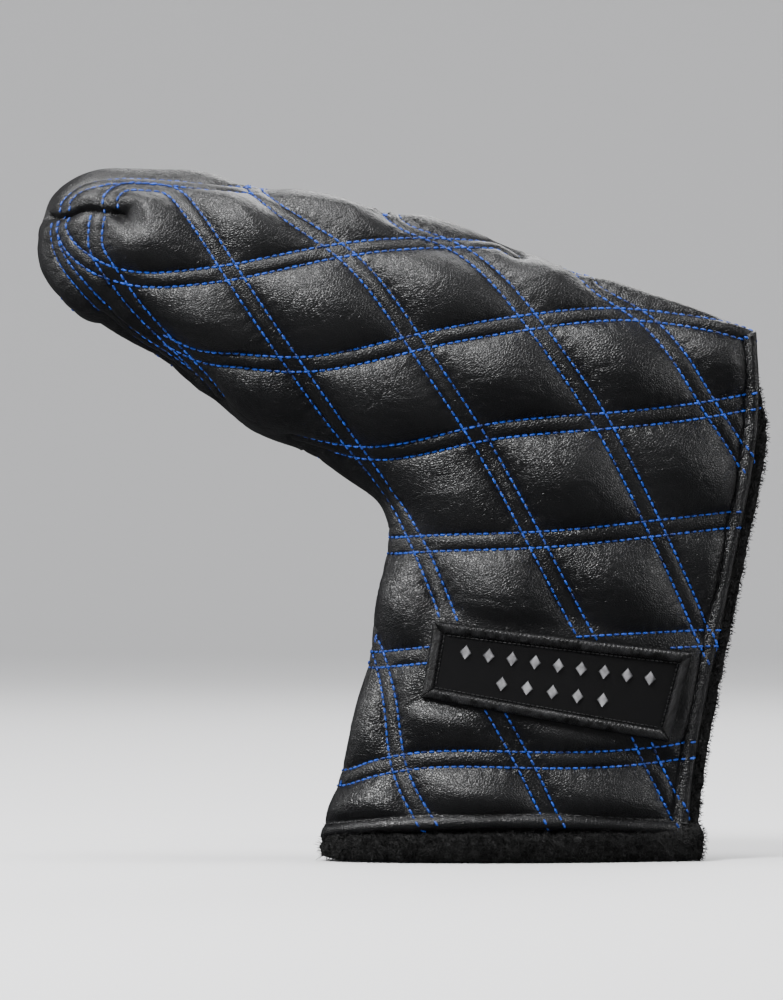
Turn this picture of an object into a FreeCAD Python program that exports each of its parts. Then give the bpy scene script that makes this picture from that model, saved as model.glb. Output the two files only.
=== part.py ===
import FreeCAD, Part
import math
import os

# Quilted leather cover for a blade putter, standing neck down. Millimetres. +X runs from the toe towards
# the open edge, -Y is the face that carries the patch, +Z is up. The origin is the middle of the footprint.
#
# The body is a family of nested skins. Each skin is a row of flat sections laid round the cover like a fan:
# every section runs from the inner line (under the pocket, round the throat, down the neck) to the outer
# line (over the ridge to the corner, then down the open edge).

V = FreeCAD.Vector
X_AXIS = V(1, 0, 0)
Y_AXIS = V(0, 1, 0)
Z_AXIS = V(0, 0, 1)
ORIGIN = V(0, 0, 0)

# Thicknesses, from the outside in.
LEATHER = 1.2
WADDING = 2.6
FLEECE = 4.2
# The open edge, where front and back meet as two flat hems.
HEM_HALF = 4.2
WADDING_HEM_HALF = 3.1
FLEECE_HEM_HALF = 2.4
CAVITY_HEM_HALF = 1.0
CAVITY_FROM_EDGE = 8.0
RIDGE_HALF = 1.0
# Heights at which the layers of the neck end.
LEATHER_END = 6.5
WADDING_END = 9.0
FLEECE_END = 0.0
# Clear space between the two bodies.
GAP = 0.3
# Quilting: pairs of rows.
ROW_SPACING = 4.4
THREAD_WIDTH = 0.7
THREAD_PROUD = 0.35
EDGE_STITCH_INSET = 4.2
# The touch-and-close tapes on the open edge.
TAPE_WIDTH = 10.0
TAPE_FROM_EDGE = 4.5
TAPE_THICK = 1.0
TAPE_END = 12.0
# The tape that covers the seam along the inner line.
SEAM_TAPE_HALF = 4.0
SEAM_TAPE_DEPTH = 6.0
# The patch.
PATCH_CORNERS = [(8.5, 65.1), (78.4, 56.5), (72.0, 32.4), (5.0, 44.6)]
PATCH_CLOTH = 0.9
PATCH_SATIN = 0.9
PATCH_BORDER = 3.0
EMBLEM_PROUD = 0.5
# Rows of lozenges: how far down the patch, how many, and where the first and the last stand across it.
EMBLEM_ROWS = [(0.34, 9, 0.14, 0.86), (0.66, 5, 0.3, 0.7)]
EMBLEM_HALF_WIDTH = 1.7
EMBLEM_HALF_HEIGHT = 1.9

# The sections: inner (x, z), outer (x, z), half thickness, roundness of the outer end (1 is a ridge, 0 a
# flat hem), and how far along the section the cover is thickest.
CORNER_SECTION = ((-5.0, 95.0), (96.5, 144.2), 20.0, 0.0, 0.45)
POCKET_SECTIONS = [
    ((-81.7, 145.8), (-66.0, 187.3), 20.5, 1.0, 0.5),
    ((-65.5, 135.3), (-45.0, 185.0), 22.5, 1.0, 0.5),
    ((-49.3, 123.6), (-20.0, 179.6), 23.0, 1.0, 0.5),
    ((-33.1, 113.8), (8.0, 173.8), 23.0, 1.0, 0.5),
    ((-20.0, 107.4), (38.0, 163.7), 22.5, 1.0, 0.5),
    ((-10.2, 101.2), (67.0, 153.4), 21.5, 0.7, 0.48),
    CORNER_SECTION,
]
NECK_SECTIONS = [
    CORNER_SECTION,
    ((-4.2, 88.0), (97.3, 124.5), 19.5, 0.0, 0.43),
    ((-5.2, 79.5), (95.8, 107.5), 19.0, 0.0, 0.42),
    ((-7.4, 67.5), (92.0, 88.0), 18.5, 0.0, 0.42),
    ((-9.6, 53.5), (87.6, 66.0), 18.0, 0.0, 0.42),
    ((-13.2, 37.5), (82.6, 42.0), 18.0, 0.0, 0.42),
    ((-18.2, 20.0), (79.2, 21.0), 18.3, 0.0, 0.42),
    ((-24.2, -3.0), (77.0, -3.0), 19.0, 0.0, 0.42),
]
# The toe closes like half an egg.
TOE_TIP = (-98.4, 169.5)
TOE_STEPS = (78, 62, 46, 30, 15)
TOE_BLUNTNESS = 0.95
TOE_LEAST_HALF = 3.0
# Degree of every curve and surface.
CUBIC = 3
# Points on each side of the thickest place of a section.
INNER_STEPS = 6
OUTER_STEPS = 7

# The back folds open about this line, from the open edge down to the bottom of the neck.
FOLD_TOP = (97.0, 124.0)
FOLD_BOTTOM = (-6.0, 0.0)
# Larger than the whole cover.
BEYOND = 300.0

# The seam that closes the toe runs level round the tip, from the front to the back.
TOE_SEAM = [(-101.0, 175.0), (-74.5, 176.7)]
# Middle lines of the pairs of quilting rows, (x, z).
STEEP_ROWS = [
    [(-82.5, 175), (-83, 165), (-80, 159.8), (-74.9, 151.7), (-64.1, 139), (-50.6, 125.6)],
    [(-69.5, 184.1), (-62.8, 183.3), (-57.4, 177.4), (-46, 159), (-29.6, 133.4), (-12.8, 109.1),
     (2.8, 85.9), (16.1, 56.7), (32.3, 27.8), (42.5, 6)],
    [(-37.9, 182), (-26.9, 173.3), (-16.6, 165.8), (3.4, 139.9), (19.6, 114.8), (35.5, 86.9),
     (50.6, 58.9), (67.1, 28.6), (77.6, 8)],
    [(-2, 175.5), (12.3, 168.8), (35.2, 146.3), (53.6, 118.8), (68.7, 89.9), (82.5, 59.9), (84.6, 50)],
    [(50.6, 158.5), (64.4, 149), (84.1, 122.3), (95.8, 103.2)],
    [(-8, 55.9), (-4.7, 43.7), (-2, 27), (10.1, 6)],
]
SHALLOW_ROWS = [
    [(-92.7, 168.5), (-81.7, 159), (-68.2, 156.3), (-46, 159), (-16.6, 165.8), (12.3, 168.8), (27.7, 167.1)],
    [(-62.2, 137.7), (-45.5, 134.2), (-29.6, 133.4), (3.4, 139.9), (35.2, 146.3), (64.4, 149), (92, 144.5)],
    [(-27.7, 112.6), (-12.8, 109.1), (19.6, 114.8), (53.6, 118.8), (84.1, 122.3), (96.5, 124.7)],
    [(-4.2, 85.6), (2.8, 85.9), (35.5, 86.9), (68.7, 89.9), (91.7, 92.3)],
    [(-7.4, 54.8), (16.1, 56.7), (50.6, 58.9), (84, 60)],
    [(-17.4, 22.7), (-2, 27), (32.3, 27.8), (67.1, 28.6), (79, 30.2)],
]


def save(name, shape):
    """Write one sub-part."""
    shape.exportStep(os.path.join("parts", name + ".step"))
    print(name, shape.isValid(), len(shape.Solids), round(shape.Volume))


def point(xz, y=0.0):
    return V(xz[0], y, xz[1])


# ---- the skins ----


def toe_sections(inset):
    """Sections that close the toe, from the tip towards the pocket, leaving out those with no room."""
    inner, outer, half, roundness, crown = POCKET_SECTIONS[0]
    middle = (point(inner) + point(outer)) * 0.5
    reach = point(outer) - middle
    tip = point(TOE_TIP) + X_AXIS * inset
    sections = []
    for degrees in TOE_STEPS:
        angle = math.radians(degrees)
        centre = middle + (tip - middle) * math.sin(angle)
        arm = reach + (Z_AXIS * reach.Length - reach) * math.sin(angle)
        shrink = math.cos(angle) ** TOE_BLUNTNESS
        low = centre - arm * shrink
        high = centre + arm * shrink
        if half * shrink > inset + TOE_LEAST_HALF:
            sections.append(((low.x, low.z), (high.x, high.z), half * shrink, roundness, crown))
    return sections


def half_profile(section, inset, hem_half, edge_inset):
    """Points of one section's front half, from the inner line to the outer line."""
    inner, outer, half, roundness, crown = section
    along = (point(outer) - point(inner)).normalize()
    start = point(inner) + along * inset
    end = point(outer) - along * (inset + edge_inset * (1 - roundness))
    length = (end - start).Length
    height = half - inset
    end_half = roundness * min(RIDGE_HALF, hem_half) + (1 - roundness) * hem_half
    end_ratio = end_half / height
    steps = []
    for step in range(INNER_STEPS):
        angle = math.pi / 2 * step / INNER_STEPS
        steps.append((crown * (1 - math.cos(angle)), math.sin(angle)))
    for step in range(OUTER_STEPS + 1):
        angle = math.pi / 2 * step / OUTER_STEPS
        fall = roundness * math.cos(angle) + (1 - roundness) * math.cos(angle) ** 2
        steps.append((crown + (1 - crown) * math.sin(angle), end_ratio + (1 - end_ratio) * fall))
    return [start + along * (length * u) - Y_AXIS * (height * f) for u, f in steps]


def spaced(points):
    """Parameters from 0 to 1 in proportion to the distance between points."""
    distances = [0.0]
    for a, b in zip(points, points[1:]):
        distances.append(distances[-1] + (b - a).Length)
    return [d / distances[-1] for d in distances]


def curve_through(points, parameters):
    curve = Part.BSplineCurve()
    curve.interpolate(Points=points, Parameters=parameters)
    return curve


def surface_through(profiles, across):
    """A smooth surface through a run of profiles that all have the same spacing across."""
    along = spaced([profile[INNER_STEPS] for profile in profiles])
    ribs = [curve_through(profile, across) for profile in profiles]
    lines = [curve_through([rib.getPole(i) for rib in ribs], along) for i in range(1, ribs[0].NbPoles + 1)]
    poles = [[line.getPole(j) for line in lines] for j in range(1, lines[0].NbPoles + 1)]
    surface = Part.BSplineSurface()
    surface.buildFromPolesMultsKnots(poles, lines[0].getMultiplicities(), ribs[0].getMultiplicities(),
                                     lines[0].getKnots(), ribs[0].getKnots(), False, False,
                                     CUBIC, CUBIC)
    return surface


def mirrored(shape):
    return shape.mirror(ORIGIN, Y_AXIS)


def end_face(surface, u, last):
    """The flat face that closes a skin at one of its end sections."""
    rim = surface.uIso(u).toShape()
    closing = Part.makeLine(last, V(last.x, -last.y, last.z))
    return Part.Face(Part.Wire([rim, closing, mirrored(rim)]))


def skin(inset, hem_half, edge_inset=0.0):
    """The closed solid that lies inset from the outside of the cover."""
    runs = []
    for sections in (toe_sections(inset) + POCKET_SECTIONS, NECK_SECTIONS):
        runs.append([half_profile(section, inset, hem_half, edge_inset) for section in sections])
    across = spaced(runs[1][0])
    faces = []
    for profiles in runs:
        surface = surface_through(profiles, across)
        front = surface.toShape()
        edge = surface.vIso(1).toShape()
        faces += [front, mirrored(front), Part.makeRuledSurface(edge, mirrored(edge))]
        if profiles is runs[0]:
            faces.append(end_face(surface, 0, profiles[0][-1]))
        else:
            faces.append(end_face(surface, 1, profiles[-1][-1]))
    shell = Part.makeShell(faces)
    shell.sewShape()
    solid = Part.Solid(shell)
    if solid.Volume < 0:
        solid.reverse()
    return solid


# ---- cutting tools ----


def block(low, high):
    """A box between two corners."""
    size = high - low
    return Part.makeBox(size.x, size.y, size.z, low)


def side_room(front):
    """All the room on one side of the middle plane, half a gap away from it."""
    if front:
        return block(V(-BEYOND, -BEYOND, -BEYOND), V(BEYOND, -GAP / 2, BEYOND))
    return block(V(-BEYOND, GAP / 2, -BEYOND), V(BEYOND, BEYOND, BEYOND))


def above(height):
    return block(V(-BEYOND, -BEYOND, height), V(BEYOND, BEYOND, BEYOND))


def prism(outline, y_low, y_high):
    """A flat outline in x and z, stretched from y_low to y_high."""
    corners = [point(p, y_low) for p in outline]
    face = Part.Face(Part.makePolygon(corners + corners[:1]))
    return face.extrude(Y_AXIS * (y_high - y_low))


def fold_side(flap):
    """All the room on one side of the fold line: the flap's side, or the side that stays."""
    along = (point(FOLD_BOTTOM) - point(FOLD_TOP)).normalize()
    across = V(-along.z, 0, along.x) * (1 if flap else -1)
    start = point(FOLD_TOP) - along * BEYOND + across * (GAP / 2)
    end = point(FOLD_BOTTOM) + along * BEYOND + across * (GAP / 2)
    outline = [start, end, end + across * BEYOND, start + across * BEYOND]
    return prism([(p.x, p.z) for p in outline], -BEYOND, BEYOND)


def strip(line, offset, width):
    """A narrow outline that follows a line of (x, z) points at a sideways offset."""
    points = [point(p) for p in line]
    left = []
    right = []
    for i, here in enumerate(points):
        along = (points[min(i + 1, len(points) - 1)] - points[max(i - 1, 0)]).normalize()
        across = V(-along.z, 0, along.x)
        left.append(here + across * (offset + width / 2))
        right.append(here + across * (offset - width / 2))
    return [(p.x, p.z) for p in left + right[::-1]]


def plate(line, offset):
    """A thin upright plate, as wide as a thread, along a line of points."""
    return prism(strip(line, offset, THREAD_WIDTH), -BEYOND, BEYOND)


def row_plates(rows):
    """Two plates for each quilting row."""
    return [plate(row, side * ROW_SPACING / 2) for row in rows for side in (-1, 1)]


def seam_band():
    """A plate that holds the few millimetres next to the inner line."""
    inner_line = [inner for inner, outer, half, roundness, crown in POCKET_SECTIONS[:-1] + NECK_SECTIONS]
    return prism(strip(inner_line, 0, 2 * SEAM_TAPE_DEPTH), -SEAM_TAPE_HALF, SEAM_TAPE_HALF)


def edge_line(inset):
    """The open edge, moved in from the hem."""
    line = []
    for inner, outer, half, roundness, crown in NECK_SECTIONS:
        along = (point(outer) - point(inner)).normalize()
        here = point(outer) - along * inset
        line.append((here.x, here.z))
    return line


def grown(outline, amount):
    """A four-cornered outline moved outwards, or inwards where the amount is negative."""
    centre = sum((point(p) for p in outline), ORIGIN) * (1 / len(outline))
    corners = []
    for i, here in enumerate(outline):
        before = (point(outline[i - 1]) - point(here)).normalize()
        after = (point(outline[(i + 1) % len(outline)]) - point(here)).normalize()
        outwards = (before + after) * -1
        corner = point(here) + outwards * (amount / before.cross(after).Length)
        corners.append((corner.x, corner.z))
    return corners


def lozenge(centre, half_width, half_height):
    x, z = centre
    return [(x - half_width, z), (x, z - half_height), (x + half_width, z), (x, z + half_height)]


def emblem_outlines():
    """Two plain rows of lozenges across the patch."""
    top_left, top_right, bottom_right, bottom_left = (point(p) for p in PATCH_CORNERS)
    outlines = []
    for down, count, first, last in EMBLEM_ROWS:
        left = top_left + (bottom_left - top_left) * down
        right = top_right + (bottom_right - top_right) * down
        for step in range(count):
            here = left + (right - left) * (first + (last - first) * step / (count - 1))
            outlines.append(lozenge((here.x, here.z), EMBLEM_HALF_WIDTH, EMBLEM_HALF_HEIGHT))
    return outlines


def joined(shapes):
    return shapes[0].fuse(shapes[1:])


# ---- the sub-parts ----


def save_on_each_side(name, shape):
    """Write the front, back and flap shares of a layer that goes all round."""
    save("front_" + name, shape.common(side_room(True)))
    back = shape.common(side_room(False))
    save("back_" + name, back.common(fold_side(False)))
    save("flap_" + name, back.common(fold_side(True)))


def save_closure(layer):
    """Sink the two tapes in the lining's edge, and return what is left of the lining."""
    room = prism(strip(edge_line(TAPE_FROM_EDGE + TAPE_WIDTH / 2), 0, TAPE_WIDTH), -BEYOND, BEYOND)
    room = room.common(above(TAPE_END)).common(fold_side(True))
    loop = room.common(block(V(-BEYOND, -GAP / 2 - TAPE_THICK, -BEYOND), V(BEYOND, -GAP / 2, BEYOND)))
    hook = room.common(block(V(-BEYOND, GAP / 2, -BEYOND), V(BEYOND, GAP / 2 + TAPE_THICK, BEYOND)))
    save("loop_strip", loop)
    save("hook_strip", hook)
    return layer.cut(loop).cut(hook)


def save_patch(outside):
    """The cloth, its satin border and the emblem, each lying on the one below."""
    front = side_room(True)
    cloth_top = skin(-PATCH_CLOTH, HEM_HALF)
    satin_top = skin(-PATCH_CLOTH - PATCH_SATIN, HEM_HALF)
    emblem_top = skin(-PATCH_CLOTH - EMBLEM_PROUD, HEM_HALF)
    whole = prism(PATCH_CORNERS, -BEYOND, 0)
    field = prism(grown(PATCH_CORNERS, -PATCH_BORDER), -BEYOND, 0)
    emblem = joined([prism(outline, -BEYOND, 0) for outline in emblem_outlines()])
    save("patch_cloth", cloth_top.cut(outside).common(whole))
    save("patch_border", satin_top.cut(cloth_top).common(whole.cut(field)))
    save("patch_emblem", emblem_top.cut(cloth_top).common(emblem))


def laid_on(layer, plates):
    """The ribbons that thin plates leave in a layer."""
    ribbons = [layer.common(plate) for plate in plates]
    return Part.makeCompound([ribbon for ribbon in ribbons if ribbon.Solids])


def save_threads(outside):
    """The quilting thread and the topstitch, lying on the leather."""
    thread_top = skin(-THREAD_PROUD, HEM_HALF)
    layer = thread_top.cut(outside).common(above(LEATHER_END))
    layer = layer.cut(prism(PATCH_CORNERS, -BEYOND, 0))
    save("toe_seam", layer.common(plate(TOE_SEAM, 0)))
    back = layer.common(side_room(False))
    sides = {
        "front": layer.common(side_room(True)),
        "back": back.common(fold_side(False)),
        "flap": back.common(fold_side(True)),
    }
    for side, ground in sides.items():
        save(side + "_steep_thread", laid_on(ground, row_plates(STEEP_ROWS)))
        save(side + "_shallow_thread", laid_on(ground, row_plates(SHALLOW_ROWS)))
        save(side + "_edge_stitch", laid_on(ground, [plate(edge_line(EDGE_STITCH_INSET), 0)]))


def main():
    os.makedirs("parts", exist_ok=True)
    outside = skin(0, HEM_HALF)
    leather_inside = skin(LEATHER, WADDING_HEM_HALF)
    wadding_inside = skin(LEATHER + WADDING, FLEECE_HEM_HALF)
    cavity = skin(LEATHER + WADDING + FLEECE, CAVITY_HEM_HALF, CAVITY_FROM_EDGE)

    leather = outside.cut(leather_inside).common(above(LEATHER_END))
    save_on_each_side("leather", leather)

    wadding = leather_inside.cut(wadding_inside).common(above(WADDING_END))
    seam_tape = wadding.common(seam_band())
    save("seam_tape", seam_tape)
    save_on_each_side("wadding", wadding.cut(seam_tape))

    lining = wadding_inside.cut(cavity).common(above(FLEECE_END))
    save_on_each_side("lining", save_closure(lining))

    save_patch(outside)
    save_threads(outside)


main()
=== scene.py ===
import math
import random

import bmesh
import bpy
import numpy as np
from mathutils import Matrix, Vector, noise
from mathutils.bvhtree import BVHTree
from mathutils.kdtree import KDTree


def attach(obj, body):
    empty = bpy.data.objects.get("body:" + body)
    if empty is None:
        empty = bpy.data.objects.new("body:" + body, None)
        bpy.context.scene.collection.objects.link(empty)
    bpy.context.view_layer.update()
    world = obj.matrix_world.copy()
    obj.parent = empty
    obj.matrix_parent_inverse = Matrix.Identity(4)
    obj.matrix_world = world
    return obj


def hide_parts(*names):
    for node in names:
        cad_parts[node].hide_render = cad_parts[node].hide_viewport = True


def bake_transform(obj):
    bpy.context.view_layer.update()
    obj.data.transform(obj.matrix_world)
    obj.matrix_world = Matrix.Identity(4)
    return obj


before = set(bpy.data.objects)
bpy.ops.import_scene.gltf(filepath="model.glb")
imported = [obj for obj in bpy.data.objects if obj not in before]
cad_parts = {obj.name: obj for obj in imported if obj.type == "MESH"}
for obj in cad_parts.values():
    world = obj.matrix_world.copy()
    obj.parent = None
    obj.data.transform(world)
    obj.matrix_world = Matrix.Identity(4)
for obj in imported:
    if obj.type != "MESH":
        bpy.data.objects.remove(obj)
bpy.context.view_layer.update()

# Looks of the quilted putter cover. Lengths are in millimetres here and become metres where a mesh is
# finished. The toe points to -X, the patch faces -Y, and the cover stands on its neck at z = 0.

MM = 0.001
# Farther out than any part of the cover.
FAR = 100.0
# Which way each side faces along Y.
OUTWARD = {"front": -1, "back": 1}
random.seed(7)

# ---- the cover's shape, as the frame has it ----
# A section: inner (x, z), outer (x, z), half thickness, roundness of the outer end, place of the crown.
CORNER = ((-5.0, 95.0), (96.5, 144.2), 20.0, 0.0, 0.45)
POCKET = [
    ((-81.7, 145.8), (-66.0, 187.3), 20.5, 1.0, 0.5),
    ((-65.5, 135.3), (-45.0, 185.0), 22.5, 1.0, 0.5),
    ((-49.3, 123.6), (-20.0, 179.6), 23.0, 1.0, 0.5),
    ((-33.1, 113.8), (8.0, 173.8), 23.0, 1.0, 0.5),
    ((-20.0, 107.4), (38.0, 163.7), 22.5, 1.0, 0.5),
    ((-10.2, 101.2), (67.0, 153.4), 21.5, 0.7, 0.48),
]
NECK = [
    ((-4.2, 88.0), (97.3, 124.5), 19.5, 0.0, 0.43),
    ((-5.2, 79.5), (95.8, 107.5), 19.0, 0.0, 0.42),
    ((-7.4, 67.5), (92.0, 88.0), 18.5, 0.0, 0.42),
    ((-9.6, 53.5), (87.6, 66.0), 18.0, 0.0, 0.42),
    ((-13.2, 37.5), (82.6, 42.0), 18.0, 0.0, 0.42),
    ((-18.2, 20.0), (79.2, 21.0), 18.3, 0.0, 0.42),
]
LEATHER_LAST = ((-22.6, 6.0), (77.8, 6.0), 18.8, 0.0, 0.42)
LINING_LAST = ((-23.6, 0.6), (77.2, 0.6), 19.0, 0.0, 0.42)
TOE_TIP = np.array((-98.4, 0.0, 169.5))
TOE_BLUNTNESS = 0.95
TOE_NORMAL = np.array((-1.0, 0.0, 0.0))
TOE_ROWS = 56
TIP_ROWS = 6
SECTION_READS = 1500
PROFILE_STEPS = 60
# The crease across the side at the sharp corner is evened out this far, but not next to the outline.
CREASE_REACH = 17.0
CREASE_FADE = 1.7
OUTLINE_SHARE = 0.2
HEM_HALF = 4.2
HEM_ARCH = 3.2

# ---- the quilting ----
ROW_HALF = 2.15
STITCH_PITCH = 2.1
STITCH_LENGTH = 1.75
STITCH_RADIUS = 0.33
STITCH_DIP = 0.22
STITCH_LIFT = 0.12
PILLOW = 4.4
PILLOW_REACH = 13.5
PILLOW_SINK = 0.52
CHANNEL = 0.2
# The middle line of every pair of rows, as (x, z).
FRONT_STEEP = [
    [(-95.6, 173.5), (-95.8, 168), (-93.6, 161.9), (-89.0, 155.8), (-83.5, 149.8), (-77, 144),
     (-70.5, 139.2), (-64, 134.8), (-58, 130.6)],
    [(-82.5, 175.2), (-83.3, 170), (-83, 165.2), (-80, 159.8), (-74.9, 151.7), (-70.3, 145.8), (-64.1, 139),
     (-56, 130.7), (-50.6, 125.0)],
    [(-79, 177.2), (-79, 180), (-76.3, 183.4), (-69.5, 184.1), (-62.8, 183.0), (-57.4, 177.4), (-46, 159),
     (-29.6, 133.4), (-12.8, 109.1), (2.8, 85.9), (16.1, 56.7), (32.3, 27.8), (43.5, 5)],
    [(-42, 186), (-37.9, 182), (-26.9, 173.3), (-16.6, 165.8), (3.4, 139.9), (19.6, 114.8), (35.5, 86.9),
     (50.6, 58.9), (67.1, 28.6), (78.6, 6)],
    [(-5, 178.5), (-2, 175.5), (12.3, 168.8), (35.2, 146.3), (53.6, 118.8), (68.7, 89.9), (82.5, 59.9),
     (87, 48)],
    [(46, 163), (50.6, 158.5), (64.4, 149), (84.1, 122.3), (89.8, 113.9), (97, 102)],
    [(-9.5, 62), (-8, 55.9), (-4.7, 43.7), (-2, 27), (10.6, 5)],
]
FRONT_SHALLOW = [
    [(-92.5, 175.3), (-93.5, 172), (-92.7, 168.5), (-90, 164.7), (-86, 161.5), (-81.7, 159), (-74.9, 156.9),
     (-68.2, 156.3), (-60, 156.9), (-46, 159), (-16.6, 165.8), (12.3, 168.8), (27.7, 167.1), (31, 165.5)],
    [(-66, 139.5), (-62.2, 137.7), (-57.1, 135.5), (-45.5, 134.2), (-29.6, 133.4), (3.4, 139.9),
     (35.2, 146.3), (64.4, 149), (95.7, 143.0)],
    [(-29.5, 112.9), (-27.7, 112.3), (-12.8, 109.1), (19.6, 114.8), (53.6, 118.8), (84.1, 122.3),
     (98.5, 125)],
    [(-5.5, 85.4), (2.8, 85.9), (35.5, 86.9), (68.7, 89.9), (93.5, 92.6)],
    [(-9.5, 54.6), (-7.4, 54.8), (16.1, 56.7), (50.6, 58.9), (88, 60.4)],
    [(-19, 22), (-17.4, 22.7), (-2, 27), (32.3, 27.8), (67.1, 28.6), (81, 30.4)],
    [(-93.0, 176.6), (-91.4, 180.4), (-87.8, 183.4), (-82.5, 185.2), (-75, 186.1), (-68.2, 185.9),
     (-61.4, 185.3), (-54.7, 184.5), (-47.9, 183.7), (-40, 183.4)],
]
BACK_STEEP = [
    [(-72, 187.2), (-80, 182), (-97, 170)],
    [(-39, 184.4), (-64, 168), (-92, 150)],
    [(-5, 178.5), (-36, 155), (-66, 134)],
    [(46, 163), (12, 136), (-26, 109)],
    [(95.7, 143), (58, 116), (22, 93), (-6, 76)],
    [(94, 97), (50, 68), (-14, 30)],
    [(83, 43), (50, 21), (27, 4)],
]
BACK_SHALLOW = [
    [(31, 165.5), (62, 144), (98, 121)],
    [(-42, 186), (0, 157), (50, 125), (94, 97)],
    [(-94, 178), (-70, 165), (-20, 133), (30, 101), (88, 63)],
    [(-88, 150), (-64, 137), (-52, 127)],
    [(-7, 88), (30, 66), (82, 33)],
    [(-10, 56), (30, 30), (68, 4)],
    [(-20, 24), (12, 4)],
]
# The mouth that closes the toe, the hollow at its end, and the puff beside that.
TOE_SEAM = [(-75.5, 176.4), (-80.3, 177.1), (-85.7, 177.4), (-90.5, 176.0), (-94.5, 175.2), (-97.4, 175.1)]
EAR_FOLD = [(-75.0, 175.0), (-71.5, 171.5), (-67.5, 168), (-63.5, 163.5)]
EAR_PUFF = (-73.5, 164.5)

# ---- the patch, by its corners (x, z), clockwise from the top left ----
PATCH = [(8.5, 65.1), (78.4, 56.5), (72.0, 32.4), (5.0, 44.6)]

# The fold line across the back: the hook strip keeps to the flap's side of it.
FOLD_TOP = np.array((97.0, 0.0, 124.0))
FOLD_BOTTOM = np.array((-6.0, 0.0, 0.0))


# ---- curves ----


def spline(knots, values, at):
    """A natural cubic spline through values, which may be points, read at the places asked for."""
    knots = np.asarray(knots, float)
    values = np.asarray(values, float).reshape(len(knots), -1)
    count = len(knots)
    step = np.diff(knots)
    slope = np.diff(values, axis=0) / step[:, None]
    system = np.eye(count)
    right = np.zeros_like(values)
    for i in range(1, count - 1):
        system[i, i - 1:i + 2] = step[i - 1], 2 * (step[i - 1] + step[i]), step[i]
        right[i] = 6 * (slope[i] - slope[i - 1])
    bend = np.linalg.solve(system, right)
    i = np.clip(np.searchsorted(knots, at) - 1, 0, count - 2)
    a = (knots[i + 1] - at)[:, None]
    b = (at - knots[i])[:, None]
    h = step[i][:, None]
    return ((bend[i] * a ** 3 + bend[i + 1] * b ** 3) / (6 * h)
            + (values[i] / h - bend[i] * h / 6) * a
            + (values[i + 1] / h - bend[i + 1] * h / 6) * b)


def lengths(points):
    """The distance along a line of points, from its start to each of them."""
    points = np.asarray(points, float)
    return np.concatenate(([0.0], np.cumsum(np.linalg.norm(np.diff(points, axis=0), axis=1))))


def read_at(at, walked, line):
    """The points of a line at distances along it."""
    return np.stack([np.interp(at, walked, line[:, k]) for k in range(3)], axis=-1)


def smooth_line(points, pitch):
    """A smooth line through given points, read at about the pitch asked for."""
    along = lengths(points)
    count = max(3, int(along[-1] / pitch))
    return spline(along, points, np.linspace(0, along[-1], count))


def unit(v):
    """The same directions with a length of 1."""
    return v / np.maximum(np.linalg.norm(v, axis=-1, keepdims=True), 1e-9)


def ease(x):
    """From 0 to 1, level at both ends."""
    x = np.clip(x, 0, 1)
    return x * x * (3 - 2 * x)


def bell(distance, height, reach):
    """A soft rise of that height, which dies away over the reach."""
    return height * np.exp(-(distance / reach) ** 2)


# ---- the skin ----


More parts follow.
